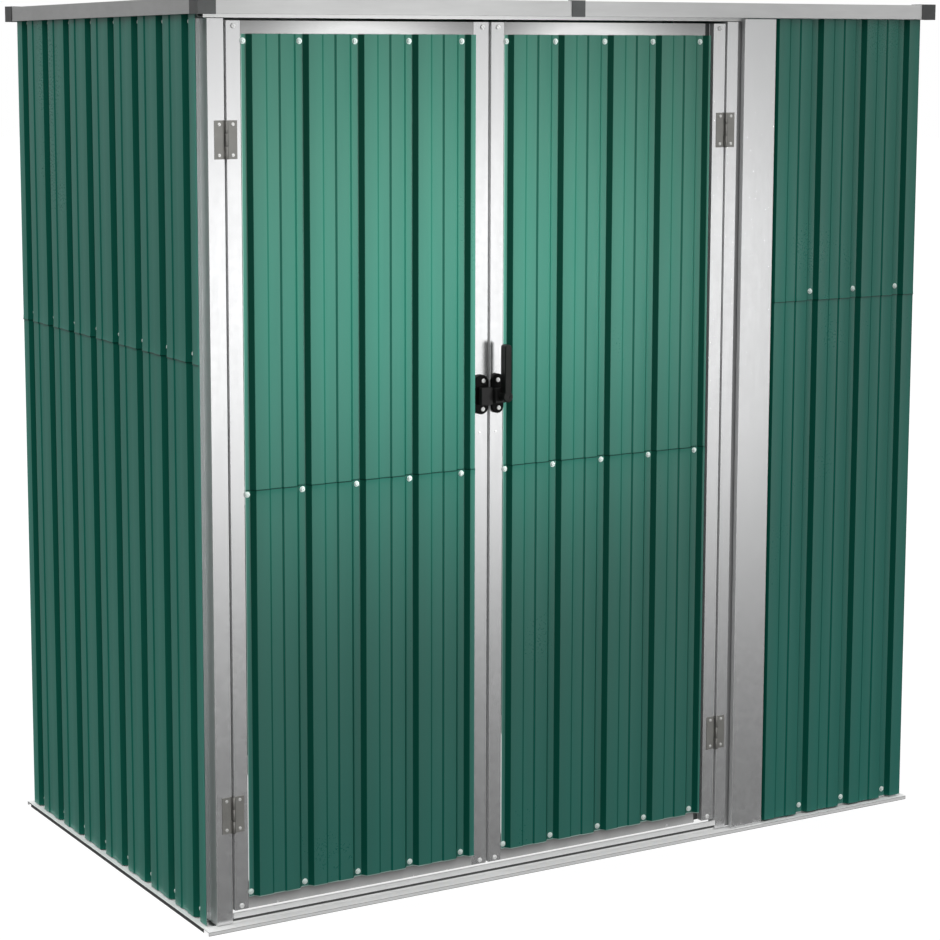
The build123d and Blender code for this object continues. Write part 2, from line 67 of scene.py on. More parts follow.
# ------------------------------------------------------------ node helpers
class Tree:
    """Short way to build a material's nodes."""

    def __init__(self, name, world=None):
        self.mat = world or bpy.data.materials.new(name)
        self.mat.use_nodes = True
        self.t = self.mat.node_tree
        self.t.nodes.clear()
        if world:
            self.out = self.t.nodes.new("ShaderNodeOutputWorld")
            self.coord = self.t.nodes.new("ShaderNodeTexCoord")
            return
        self.out = self.t.nodes.new("ShaderNodeOutputMaterial")
        self.bsdf = self.t.nodes.new("ShaderNodeBsdfPrincipled")
        self.t.links.new(self.bsdf.outputs[0], self.out.inputs[0])
        self.coord = self.t.nodes.new("ShaderNodeTexCoord")

    def put(self, sock, v):
        if v is None:
            return
        if isinstance(v, bpy.types.NodeSocket):
            self.t.links.new(v, sock)
        else:
            sock.default_value = v

    def math(self, op, a, b=None, c=None, clamp=False):
        n = self.t.nodes.new("ShaderNodeMath")
        n.operation = op
        n.use_clamp = clamp
        for s, v in zip(n.inputs, (a, b, c)):
            self.put(s, v)
        return n.outputs[0]

    def mapped(self, scale=(1, 1, 1), loc=(0, 0, 0)):
        n = self.t.nodes.new("ShaderNodeMapping")
        self.t.links.new(self.coord.outputs["Object"], n.inputs["Vector"])
        n.inputs["Scale"].default_value = scale
        n.inputs["Location"].default_value = loc
        return n.outputs[0]

    def noise(self, scale, detail=2.0, rough=0.5, stretch=(1, 1, 1), loc=(0, 0, 0)):
        n = self.t.nodes.new("ShaderNodeTexNoise")
        n.noise_dimensions = "3D"
        self.t.links.new(self.mapped(stretch, loc), n.inputs["Vector"])
        n.inputs["Scale"].default_value = scale
        n.inputs["Detail"].default_value = detail
        n.inputs["Roughness"].default_value = rough
        return n.outputs["Fac"]

    def voronoi(self, scale, stretch=(1, 1, 1), feature="F1", out="Color"):
        n = self.t.nodes.new("ShaderNodeTexVoronoi")
        n.feature = feature
        self.t.links.new(self.mapped(stretch), n.inputs["Vector"])
        n.inputs["Scale"].default_value = scale
        return n.outputs[out]

    def span(self, v, a, b, c=0.0, d=1.0, smooth=False):
        n = self.t.nodes.new("ShaderNodeMapRange")
        n.clamp = True
        if smooth:
            n.interpolation_type = "SMOOTHSTEP"
        self.put(n.inputs["Value"], v)
        n.inputs["From Min"].default_value = a
        n.inputs["From Max"].default_value = b
        n.inputs["To Min"].default_value = c
        n.inputs["To Max"].default_value = d
        return n.outputs[0]

    def ramp(self, v, stops):
        n = self.t.nodes.new("ShaderNodeValToRGB")
        self.put(n.inputs[0], v)
        els = n.color_ramp.elements
        while len(els) < len(stops):
            els.new(0.5)
        for e, (p, c) in zip(els, stops):
            e.position = p
            e.color = (*c, 1) if len(c) == 3 else c
        return n.outputs[0]

    def mix(self, fac, a, b, mode="MIX"):
        n = self.t.nodes.new("ShaderNodeMix")
        n.data_type = "RGBA"
        n.blend_type = mode
        self.put(n.inputs[0], fac)
        for s, v in ((n.inputs[6], a), (n.inputs[7], b)):
            if isinstance(v, tuple) and len(v) == 3:
                v = (*v, 1)
            self.put(s, v)
        return n.outputs[2]

    def grey(self, v):
        n = self.t.nodes.new("ShaderNodeCombineColor")
        for s in n.inputs[:3]:
            self.put(s, v)
        return n.outputs[0]

    def sep(self, v=None):
        n = self.t.nodes.new("ShaderNodeSeparateXYZ")
        self.t.links.new(v or self.coord.outputs["Object"], n.inputs[0])
        return n.outputs

    def attr(self, name):
        n = self.t.nodes.new("ShaderNodeAttribute")
        n.attribute_name = name
        return n.outputs["Fac"]

    def bump(self, height, strength, distance, after=None):
        n = self.t.nodes.new("ShaderNodeBump")
        n.inputs["Strength"].default_value = strength
        n.inputs["Distance"].default_value = distance
        self.put(n.inputs["Height"], height)
        if after is not None:
            self.t.links.new(after, n.inputs["Normal"])
        return n.outputs[0]

    def finish(self, color, rough, metallic=0.0, normal=None, **fixed):
        b = self.bsdf
        self.put(b.inputs["Base Color"], color)
        self.put(b.inputs["Roughness"], rough)
        self.put(b.inputs["Metallic"], metallic)
        if normal is not None:
            self.t.links.new(normal, b.inputs["Normal"])
        for k, v in fixed.items():
            b.inputs[k.replace("_", " ")].default_value = v
        return self.mat


# ------------------------------------------------------------------ materials
def green_paint(name, specular):
    m = Tree(name)
    x, y, z = m.sep()
    big = m.noise(2.2, 3.0, 0.5)
    streak = m.noise(9.0, 3.0, 0.6, stretch=(6, 6, 0.35))
    fine = m.noise(260.0, 2.0, 0.6)
    fold = m.attr("fold")
    edge = m.attr("edge")
    # painted shade: the green is darker and less red towards the foot, standing in for
    # light that fades down the walls
    base = m.mix(m.span(z, 0.0, 1.5), (0.014, 0.212, 0.170), (0.052, 0.228, 0.164))
    # painted light: the left wall and the fixed panel are a shade bluer than the doors,
    # lit and shaded copies of the one paint set to how the light falls on each; the
    # panel's green also darkens towards the foot as painted shade
    under = m.span(z, 1.7790, 1.7795, 1.0, 0.0)
    wall = m.math("MULTIPLY", under, m.span(x, (-8.0 - CX) / 1000,
                                            (-7.4 - CX) / 1000, 1.0, 0.0))
    base = m.mix(wall, base, (0.029, 0.292, 0.222))
    fixed = m.math("MULTIPLY", under, m.span(x, (1249 - CX) / 1000, (1250 - CX) / 1000))
    fixed = m.math("MULTIPLY", fixed, m.span(y, (15 - CY) / 1000, (20 - CY) / 1000,
                                             1.0, 0.0))
    base = m.mix(fixed, base, m.mix(m.span(z, 0.0, 1.5), (0.008, 0.228, 0.184),
                                    (0.020, 0.226, 0.168)))
    base = m.mix(m.span(big, 0.3, 0.7, 0.0, 0.2), base, (0.030, 0.240, 0.175))
    base = m.mix(m.span(streak, 0.45, 0.75, 0.0, 0.20), base, (0.020, 0.170, 0.120))
    # painted shade: the flanks of the folds are painted almost black-green, standing in
    # for the shade inside the folds
    base = m.mix(m.math("MULTIPLY", fold, 0.80), base,
                 m.mix(wall, (0.001, 0.056, 0.034), (0.004, 0.090, 0.058)))
    # painted shade: a thin dark line along the lapped sheet edges, standing in for the
    # shadow line of the lap
    base = m.mix(m.math("MULTIPLY", edge, 0.78), base, (0.002, 0.022, 0.016))
    # pale cut edges of the door sheets: partly bare metal, partly a painted highlight
    # where the edges catch the light
    base = m.mix(m.math("MULTIPLY", m.attr("tip"), 0.85), base, (0.62, 0.80, 0.74))
    dust = m.math("MULTIPLY", m.span(z, 0.0, 0.16, 1.0, 0.0),
                  m.span(m.noise(38.0, 4.0, 0.6), 0.42, 0.7))
    base = m.mix(m.math("MULTIPLY", dust, 0.04), base, (0.17, 0.17, 0.14))
    rough = m.math("ADD", m.span(big, 0.3, 0.7, 0.27, 0.33),
                   m.span(fine, 0.3, 0.7, -0.01, 0.01))
    rough = m.math("ADD", rough, m.math("MULTIPLY", dust, 0.05))
    peel = m.noise(520.0, 1.0, 0.5)
    roll = m.noise(30.0, 2.0, 0.5, stretch=(1, 1, 0.12))
    h = m.math("ADD", m.math("MULTIPLY", peel, 0.06), roll)
    nrm = m.bump(h, 0.05, 0.0006)
    return m.finish(base, rough, 0.0, nrm, Specular_IOR_Level=specular)


def galvanised(name, tone=(0.86, 0.865, 0.87), rough=(0.19, 0.22), metallic=0.96,
               side_metallic=0.42, low=0.88, top=0.90, grain=0.05, kind="frame"):
    """Zinc coat: bright on the rolled faces, duller on flanges and returns."""
    m = Tree(name)
    x, y, z = m.sep()
    cells = m.voronoi(110.0)
    spangle = m.t.nodes.new("ShaderNodeSeparateColor")
    m.t.links.new(cells, spangle.inputs[0])
    spangle = spangle.outputs[0]
    face = m.math("ABSOLUTE", m.sep(m.coord.outputs["Normal"])[1])
    big = m.noise(5.0, 3.0, 0.55)
    rub = m.noise(60.0, 3.0, 0.6, stretch=(1, 1, 0.15))
    # painted shade: the zinc is darker towards the foot and towards the top, standing in
    # for how the light falls on the frame
    grade = m.span(z, 0.02, 0.9, low, 1.0, smooth=True)
    grade = m.math("MULTIPLY", grade, m.span(z, 1.3, 1.78, 1.0, top, smooth=True))
    grade = m.math("MULTIPLY", grade, m.span(spangle, 0.0, 1.0, 0.985, 1.01))
    grade = m.math("MULTIPLY", grade, m.span(big, 0.3, 0.7, 0.98, 1.01))
    grade = m.math("MULTIPLY", grade, m.span(rub, 0.3, 0.75, 1.005, 0.985))
    if kind == "rails":
        # painted sheen: the top rails are brighter in the middle than at their ends, a
        # painted reflection, and darker along their upper edge as painted shade
        def hump(c, left, right):
            c = (c - CX) / 1000
            return m.math("MULTIPLY", m.span(x, c - left, c, 0.0, 1.0, smooth=True),
                          m.span(x, c, c + right, 1.0, 0.0, smooth=True))
        sheen = m.math("ADD", hump(315, 0.25, 0.28), hump(835, 0.22, 0.31))
        sheen = m.math("MULTIPLY_ADD", sheen, 0.64, 0.37)
        sheen = m.math("MULTIPLY", sheen, m.span(z, 1.744, 1.770, 1.18, 0.88))
        up = m.span(z, 1.4, 1.5)
        sheen = m.math("MULTIPLY_ADD", m.math("SUBTRACT", sheen, 1.0), up, 1.0)
        grade = m.math("MULTIPLY", grade, sheen)
        # painted shadow: the bottom rails darken towards their upper edge, under the lower
        # edge of the door sheets
        foot = m.math("MULTIPLY_ADD", m.span(z, 0.1, 0.2), 0.64,
                      m.span(z, 0.030, 0.056, 0.90, 0.36))
        grade = m.math("MULTIPLY", grade, foot)
    col = m.mix(1.0, m.grey(grade), tone, "MULTIPLY")
    grime = m.math("MULTIPLY", m.span(z, 0.0, 0.06, 1.0, 0.0),
                   m.span(m.noise(45.0, 4.0, 0.6), 0.45, 0.72))
    col = m.mix(m.math("MULTIPLY", grime, grain), col, (0.30, 0.29, 0.27))

    def within(v, a, b, soft=0.0004):
        return m.math("MULTIPLY", m.span(v, a - soft, a + soft),
                      m.span(v, b - soft, b + soft, 1.0, 0.0))

    fy = m.math("SUBTRACT", y, -CY / 1000)
    metal = m.span(face, 0.5, 0.9, side_metallic, metallic)
    if kind == "frame":
        # painted shade: the recess between the door post and the cover strip is painted
        # dark and loses its metal gloss
        slot = m.math("MULTIPLY", within(x, (1232 - CX) / 1000, (1250 - CX) / 1000),
                      m.span(fy, 0.0040, 0.0045))
        metal = m.math("MULTIPLY", metal, m.math("SUBTRACT", 1.0, slot))
        col = m.mix(m.math("MULTIPLY", slot, 0.42), col, (0.02, 0.022, 0.022))
        # set-back edge of the hinge stile, always in shade
        back = m.math("MULTIPLY", within(x, (1119 - CX) / 1000, (1167.4 - CX) / 1000),
                      m.span(fy, -0.0060, -0.0050))
        col = m.mix(m.math("MULTIPLY", back, 0.93), col, (0.01, 0.02, 0.018))
        metal = m.math("MULTIPLY", metal, m.math("SUBTRACT", 1.0, back))
    if kind == "rails":
        metal = m.math("ADD", metal, m.span(z, 1.4, 1.5, 0.0, 0.64))
    if kind == "base":
        top = m.math("ABSOLUTE", m.sep(m.coord.outputs["Normal"])[2])
        metal = m.math("MULTIPLY", metal, m.span(top, 0.5, 0.9, 1.0, 0.1))
        # painted shade: the groove under the bead, the crease at the flange's bend and the
        # outer lips at the sides are painted dark; a dark line also runs along the bottom
        # edge of the front faces
        groove = m.math("MULTIPLY", within(z, 0.0125, 0.0195),
                        within(fy, 0.0022, 0.0036))
        out = m.math("ABSOLUTE", m.sep(m.coord.outputs["Normal"])[0])
        lips = m.math("MULTIPLY", m.span(out, 0.5, 0.9),
                      m.span(z, 0.0074, 0.0080, 1.0, 0.0))
        rims = m.math("MULTIPLY", m.span(z, 0.0008, 0.0014, 0.8, 0.0),
                      m.span(face, 0.5, 0.9))
        crease = m.math("MULTIPLY", within(z, 0.0062, 0.0072),
                        m.span(face, 0.5, 0.9, 0.0, 0.55))
        dark = m.math("MAXIMUM", m.math("MAXIMUM", groove, lips),
                      m.math("MAXIMUM", rims, crease))
        col = m.mix(m.math("MULTIPLY", dark, 0.95), col, (0.012, 0.014, 0.014))
        metal = m.math("MULTIPLY", metal, m.math("SUBTRACT", 1.0, dark))
    r = m.math("ADD", m.span(spangle, 0.0, 1.0, rough[0], rough[1]),
               m.span(rub, 0.3, 0.7, -0.005, 0.012))
    r = m.math("ADD", r, m.math("MULTIPLY", grime, 0.2))
    r = m.math("ADD", r, m.span(face, 0.5, 0.9, 0.18, 0.0))
    nrm = m.bump(rub, 0.008, 0.0004)
    return m.finish(col, r, metal, nrm)


def trim_steel():
    m = Tree("trim_steel")
    z = m.sep()[2]
    big = m.noise(4.0, 3.0, 0.5)
    rub = m.noise(70.0, 3.0, 0.6, stretch=(0.15, 0.4, 1))
    v = m.math("MULTIPLY", m.span(big, 0.3, 0.7, 0.65, 0.72),
               m.span(rub, 0.3, 0.7, 1.02, 0.96))
    v = m.math("MULTIPLY", v, m.span(m.sep()[0], (900 - CX) / 1000, (1700 - CX) / 1000,
                                     1.0, 1.20))
    # painted shade: faces turned to the sides are painted a fifth darker than those turned
    # to the front or back
    side = m.math("ABSOLUTE", m.sep(m.coord.outputs["Normal"])[0])
    v = m.math("MULTIPLY", v, m.span(side, 0.5, 0.9, 1.0, 0.80))
    col = m.mix(1.0, m.grey(v), (1.0, 1.005, 1.0), "MULTIPLY")
    r = m.span(rub, 0.3, 0.7, 0.34, 0.44)
    nrm = m.bump(m.math("ADD", rub, m.noise(420.0, 1.0)), 0.08, 0.0004)
    return m.finish(col, r, 0.45, nrm)


def plastic(name, tone, rough=(0.34, 0.46), grain=900.0, strength=0.16,
            specular=0.5, raised=None):
    m = Tree(name)
    big = m.noise(18.0, 3.0, 0.55)
    fine = m.noise(grain, 2.0, 0.6)
    col = m.mix(m.span(big, 0.3, 0.7), tuple(c * 0.82 for c in tone),
                tuple(c * 1.18 for c in tone))
    if raised:
        # the raised block is paler than the plates it stands on
        fy = m.math("SUBTRACT", m.sep()[1], -CY / 1000)
        col = m.mix(m.span(fy, -0.0105, -0.0095, 1.0, 0.0), col, raised)
    r = m.span(m.noise(55.0, 3.0, 0.6), 0.3, 0.7, *rough)
    nrm = m.bump(fine, strength, 0.0003)
    return m.finish(col, r, 0.0, nrm, Specular_IOR_Level=specular)


def zinc(name, tone, rough=(0.26, 0.38), scale=1.0, metallic=0.9):
    m = Tree(name)
    fine = m.noise(320.0 * scale, 3.0, 0.6)
    big = m.noise(26.0, 3.0, 0.55)
    v = m.math("MULTIPLY", m.span(fine, 0.3, 0.7, 0.92, 1.06),
               m.span(big, 0.3, 0.7, 0.92, 1.06))
    col = m.mix(1.0, m.grey(v), tone, "MULTIPLY")
    r = m.span(fine, 0.3, 0.7, *rough)
    nrm = m.bump(fine, 0.08, 0.0003)
    return m.finish(col, r, metallic, nrm)


MAT = {
    "green_paint": green_paint("green_paint", 0.70),
    "galvanised_steel": galvanised("galvanised_steel"),
    "rail_steel": galvanised("rail_steel", (0.97, 0.975, 0.97), (0.19, 0.22), 0.30,
                             0.30, 1.0, 1.0, 0.02, "rails"),
    "base_steel": galvanised("base_steel", (0.985, 0.99, 0.985), (0.30, 0.36), 0.15,
                             0.30, 1.0, 1.0, 0.03, "base"),
    "head_steel": galvanised("head_steel", (0.985, 0.99, 0.985), (0.28, 0.34), 0.15,
                             0.20, 1.0, 1.0, 0.0, "head"),
    "trim_steel": trim_steel(),
    "hinge_steel": zinc("hinge_steel", (0.36, 0.355, 0.335), (0.34, 0.46)),
    "grey_plastic": plastic("grey_plastic", (0.088, 0.092, 0.092)),
    "black_plastic": plastic("black_plastic", (0.012, 0.013, 0.012), (0.28, 0.42),
                             specular=0.22),
    "latch_plastic": plastic("latch_plastic", (0.003, 0.003, 0.003), (0.34, 0.46),
                             specular=0.12, raised=(0.020, 0.020, 0.020)),
}
# flanks of the folds: same paint with its gloss cut right down, so that the painted shade
# on them stays dark
SHADED_FOLD_PAINT = green_paint("green_paint_shaded_folds", 0.06)
SCREW = zinc("screw_zinc", (0.88, 1.0, 0.955), (0.22, 0.30), metallic=0.0)
LATCH_ZINC = zinc("latch_screw_zinc", (0.70, 0.71, 0.70), (0.28, 0.38), metallic=0.3)
HINGE_ZINC = zinc("hinge_screw_zinc", (0.80, 0.80, 0.78), (0.30, 0.40), metallic=0.1)
FRAME_ZINC = zinc("frame_screw_zinc", (0.98, 0.985, 0.98), (0.22, 0.30), metallic=0.2)
SCREW_DARK = plastic("screw_recess", (0.03, 0.03, 0.03))

slot_of = {s["node"]: s["material_slot"] for s in frame["record"]["subparts"]}


def set_mat(obj, mat):
    if not obj.data.materials:
        obj.data.materials.append(mat)
    for i in range(len(obj.data.materials)):
        obj.data.materials[i] = mat


# ---------------------------------------------------------------- mesh helpers
def mesh_object(name, verts, faces, mat, body, angle=28.0, attrs=None,
                merge=0.0):
    me = bpy.data.meshes.new(name)
    me.from_pydata([tuple(v) for v in verts], [], faces)
    if attrs:
        for k, vals in attrs.items():
            a = me.attributes.new(k, "FLOAT", "POINT")
            a.data.foreach_set("value", vals)
    bm = bmesh.new()
    bm.from_mesh(me)
    if merge:
        bmesh.ops.remove_doubles(bm, verts=bm.verts, dist=merge)
    bmesh.ops.recalc_face_normals(bm, faces=bm.faces)
    bm.to_mesh(me)
    bm.free()
    for p in me.polygons:
        p.use_smooth = True
    me.set_sharp_from_angle(angle=math.radians(angle))
    o = bpy.data.objects.new(name, me)
    scene.collection.objects.link(o)
    o.data.materials.append(mat)
    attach(o, body)
    return o


def round_line(pts, r, n=3):
    """Open line with its corners rounded; keeps the ends."""
    out = [pts[0]]
    for a, b, c in zip(pts, pts[1:], pts[2:]):
        u = Vector(a) - Vector(b)
        v = Vector(c) - Vector(b)
        lu, lv = u.length, v.length
        turn = math.pi - u.angle(v)
        if turn < 0.02:
            out.append(b)
            continue
        d = min(r * math.tan(turn / 2), lu * 0.48, lv * 0.48)
        p, q = Vector(b) + u / lu * d, Vector(b) + v / lv * d
        for i in range(n + 1):
            t = i / n
            w = p * (1 - t) ** 2 + Vector(b) * 2 * t * (1 - t) + q * t ** 2
            out.append(tuple(w))
    out.append(pts[-1])
    return out


def sheet_line(u0, u1, first):
    v_half = VALLEY_FLOOR / 2
    knots = []
    k0 = int(math.floor((u0 - first) / PITCH)) - 1
    k1 = int(math.ceil((u1 - first) / PITCH)) + 1
    for k in range(k0, k1 + 1):
        c = first + k * PITCH
        m = c + PITCH / 2
        knots += [(c - v_half - VALLEY_RUN, VALLEY), (c - v_half, 0.0),
                  (c + v_half, 0.0), (c + v_half + VALLEY_RUN, VALLEY),
                  (m - BEAD_WIDE / 2, VALLEY),
                  (m - BEAD_WIDE / 2 + BEAD_RUN, VALLEY - BEAD),
                  (m + BEAD_WIDE / 2 - BEAD_RUN, VALLEY - BEAD),
                  (m + BEAD_WIDE / 2, VALLEY)]

    def height(u):
        for (a, ha), (b, hb) in zip(knots, knots[1:]):
            if a <= u <= b:
                return ha + (hb - ha) * (u - a) / (b - a)
        return VALLEY

    line = [(u0, height(u0))]
    line += [(u, h) for u, h in knots if u0 + 0.6 < u < u1 - 0.6]
    line.append((u1, height(u1)))
    return line


def ribbed(name, side, u0, u1, first, z0, z1, lift, body, seed, lap="", tip=False):
    """Ribbed sheet with rounded bends and the faint waviness of thin steel.
    It stands for the plain sheet of the same name."""
    line = round_line(sheet_line(u0, u1, first), 2.2, 3)
    if tip:
        (ua, ha), (ub, hb) = line[0], line[1]
        line[1:1] = [(ua + q, ha + (hb - ha) * q / (ub - ua)) for q in (1.0, 1.6)]
    # fold rates how steep each point of the profile is; the paint darkens the steep flanks
    # as painted shade
    fold = []
    n = len(line)
    for i in range(n):
        s = 0.0
        for j in (i - 1, i):
            if 0 <= j < n - 1:
                du = line[j + 1][0] - line[j][0]
                dh = line[j + 1][1] - line[j][1]
                s = max(s, abs(dh) / max(abs(du), 1e-6))
        fold.append(s)
    fold = [min(1.0, s / 1.25) ** 0.4 if s > 0.05 else 0.0 for s in fold]
    rows = max(2, int(round((z1 - z0) / 60.0)))
    zs = [z0 + (z1 - z0) * j / rows for j in range(rows + 1)]
    if lap:
        near = [1.4, 2.2, 6.0, 14.0]
        zs = sorted(zs + ([z0 + q for q in near] if lap == "low"
                          else [z1 - q for q in near]))
    low_tip = tip and z0 < 100
    if low_tip:
        zs = sorted(zs + [z0 + 1.1, z0 + 1.7])
    rows = len(zs) - 1
    amp = 0.22
    grid_in, grid_out, attr, rim, bright = [], [], [], [], []
    for j, z in enumerate(zs):
        edge = min(1.0, min(z - z0, z1 - z) / 60.0)
        away = (z - z0 if lap == "low" else z1 - z) if lap else 99.0
        flare = 1.1 * max(0.0, 1 - away / 14.0) ** 2
        for (u, h), f in zip(line, fold):
            w = noise.noise(Vector((u / 170.0 + seed * 7.3, z / 210.0, seed)))
            d = amp * edge * w + flare
            grid_in.append((u, h + lift + d, z))
            grid_out.append((u, h + lift + T + d, z))
            attr.append(f)
            # rim marks the lapped edge, where the paint lays its thin dark line of painted
            # shade
            rim.append(1.0 if away < 1.5 else 0.0)
            # pale lower and left edges of the door sheets: partly bare cut edge, partly a
            # painted highlight; noise breaks up the lower one
            wear_and_glint = 0.5 + 0.9 * noise.noise(Vector((u / 23.0, z / 31.0, seed)))
            b1 = 1.0 if low_tip and z - z0 < 1.2 else 0.0
            b2 = 0.6 if tip and u - u0 < 1.1 else 0.0
            bright.append(max(b1 * min(1.0, max(0.15, wear_and_glint + 0.25)), b2))

    def place(u, v, z):
        if side == "front":
            return M(u, -v, z)
        if side == "left":
            return M(X_LEFT - v, u, z)
        if side == "right":
            return M(X_RIGHT + v, u, z)
        if side == "back":
            return M(u, Y_BACK + v, z)
        # roof: z runs along Y, v is height
        y = z
        h = 1798.6 + v - TRIM_Z0
        yy = TRIM_Y0 + (y - TRIM_Y0) * math.cos(FALL) + h * math.sin(FALL)
        zz = TRIM_Z0 - (y - TRIM_Y0) * math.sin(FALL) + h * math.cos(FALL)
        return M(u, yy, zz)

    verts = [place(*p) for p in grid_in] + [place(*p) for p in grid_out]
    a = len(grid_in)
    faces = []
    for j in range(rows):
        for i in range(n - 1):
            p, q = j * n + i, j * n + i + 1
            r, s = p + n, q + n
            faces.append((p, q, s, r))
            faces.append((a + p, a + r, a + s, a + q))
        for i in (0, n - 1):
            p, r = j * n + i, j * n + i + n
            faces.append((p, r, a + r, a + p))
    for j in (0, rows):
        for i in range(n - 1):
            p, q = j * n + i, j * n + i + 1
            faces.append((p, q, a + q, a + p))
    o = mesh_object(name + "_ribbed", verts, faces, MAT["green_paint"], body,
                    angle=50.0, attrs={"fold": attr + attr, "edge": rim + rim,
                                       "tip": bright + bright})
    # steep flanks take the low-gloss copy of the paint, which keeps their painted shade
    # dark
    o.data.materials.append(SHADED_FOLD_PAINT)
    f = o.data.attributes["fold"].data
    for p in o.data.polygons:
        if min(f[i].value for i in p.vertices) > 0.6:
            p.material_index = 1
    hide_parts(name)
    return o


sheets = [
    ("wall_left_lower", "left", 12.75, 941.5, 57.0, 10, 1150, 0, "shed"),
    ("wall_left_upper", "left", 12.75, 941.5, 57.0, 1117, 1784, LIFT, "shed"),
    ("wall_right_lower", "right", 1.0, 941.5, 57.0, 10, 1150, 0, "shed"),
    ("wall_right_upper", "right", 1.0, 941.5, 57.0, 1117, 1784, LIFT, "shed"),
    ("wall_back_lower", "back", -6.5, 1713.0, 76.0, 10, 1150, 0, "shed"),
    ("wall_back_upper", "back", -6.5, 1713.0, 76.0, 1117, 1775, LIFT, "shed"),
    ("front_panel_lower", "front", 1250, 1724, 1317.5, 12, 1205, 0, "shed"),
    ("front_panel_upper", "front", 1250, 1724, 1317.5, 1170, 1779, LIFT, "shed"),
    ("left_door_sheet_lower", "front", 69, 579, 72.0, 58, 872, LIFT, "left_door"),
    ("left_door_sheet_upper", "front", 69, 579, 72.0, 846, 1743, 0, "left_door"),
    ("right_door_sheet_lower", "front", 651, 1153, 652.0, 58, 872, LIFT, "right_door"),
    ("right_door_sheet_upper", "front", 651, 1153, 652.0, 846, 1743, 0, "right_door"),
    ("roof_sheet_left", "roof", TRIM_X0 + 3, JOINT_X - 2, 40.0,
     TRIM_Y0 + 3, TRIM_Y1 - 3, 0, "shed"),
    ("roof_sheet_right", "roof", JOINT_X + 2, TRIM_X1 - 3, 40.0 + 7 * PITCH,
     TRIM_Y0 + 3, TRIM_Y1 - 3, 0, "shed"),
]
for k, (nm, side, u0, u1, first, z0, z1, lift, body) in enumerate(sheets):
    lap = "" if not lift else ("high" if "door" in nm else "low")
    ribbed(nm, side, u0, u1, first, z0, z1, lift, body, k + 1, lap, "door" in nm)

# ------------------------------------------------- folded steel, plastic parts
for nm, o in nodes.items():
    slot = slot_of[nm]
    look = slot
    if nm.startswith("base_rail"):
        look = "base_steel"
    elif nm == "head_rail_front":
        look = "head_steel"
    elif nm.endswith("door_rails"):
        look = "rail_steel"
    elif nm.endswith("latch_half"):
        look = "latch_plastic"
    set_mat(o, MAT[look])
    if slot == "green_paint":
        continue
    w = o.modifiers.new("weld", "WELD")
    w.merge_threshold = 0.00001
    b = o.modifiers.new("bevel", "BEVEL")
    b.limit_method = "ANGLE"
    b.angle_limit = math.radians(35)
    b.width = 0.00035
    b.segments = 2
    b.harden_normals = False


# --------------------------------------------------------------------- screws
def template(make):
    """Mesh data (verts, faces) of a small part made by make(bm)."""
    bm = bmesh.new()
    make(bm)
    bmesh.ops.recalc_face_normals(bm, faces=bm.faces)
    bm.verts.ensure_lookup_table()
    v = [x.co.copy() for x in bm.verts]
    f = [tuple(y.index for y in x.verts) for x in bm.faces]
    bm.free()
    return v, f


def lathe(bm, prof, n=20):
    """Closed turned shape about Z from (radius, height) points."""
    rings = []
    for r, z in prof:
        if r < 1e-6:
            rings.append([bm.verts.new((0, 0, z))])
        else:
            rings.append([bm.verts.new((r * math.cos(2 * math.pi * i / n),
                                        r * math.sin(2 * math.pi * i / n), z))
                          for i in range(n)])
    for a, b in zip(rings, rings[1:]):
        for i in range(n):
            j = (i + 1) % n
            if len(a) == 1:
                bm.faces.new((a[0], b[i], b[j]))
            elif len(b) == 1:
                bm.faces.new((a[i], b[0], a[j]))
            else:
                bm.faces.new((a[i], b[i], b[j], a[j]))
    return rings


def cross_cut(verts, faces, half, width, depth, top):
    """Boolean of a cross recess out of the head, done once on the template."""
    me = bpy.data.meshes.new("tmp_head")
    me.from_pydata([tuple(v) for v in verts], [], faces)
    o = bpy.data.objects.new("tmp_head", me)
    scene.collection.objects.link(o)
    bm = bmesh.new()
    w = width / 2
    ring = [(-w, -half), (w, -half), (w, -w), (half, -w), (half, w), (w, w),
            (w, half), (-w, half), (-w, w), (-half, w), (-half, -w), (-w, -w)]
    lo = [bm.verts.new((x * 0.7, y * 0.7, top - depth)) for x, y in ring]
    hi = [bm.verts.new((x, y, top + 1)) for x, y in ring]
    bm.faces.new(lo[::-1])
    bm.faces.new(hi)
    for i in range(12):
        j = (i + 1) % 12
        bm.faces.new((lo[i], lo[j], hi[j], hi[i]))
    bmesh.ops.recalc_face_normals(bm, faces=bm.faces)
    cm = bpy.data.meshes.new("tmp_cut")
    bm.to_mesh(cm)
    bm.free()
    c = bpy.data.objects.new("tmp_cut", cm)
    scene.collection.objects.link(c)
    mod = o.modifiers.new("cut", "BOOLEAN")
    mod.operation = "DIFFERENCE"
    mod.object = c
    mod.solver = "EXACT"
    dg = bpy.context.evaluated_depsgraph_get()
    e = o.evaluated_get(dg)
    m2 = e.to_mesh()
    v = [x.co.copy() for x in m2.vertices]
    f = [tuple(p.vertices) for p in m2.polygons]
    e.to_mesh_clear()
    bpy.data.objects.remove(o)
    bpy.data.objects.remove(c)
    bpy.data.meshes.remove(me)
    bpy.data.meshes.remove(cm)
    return v, f


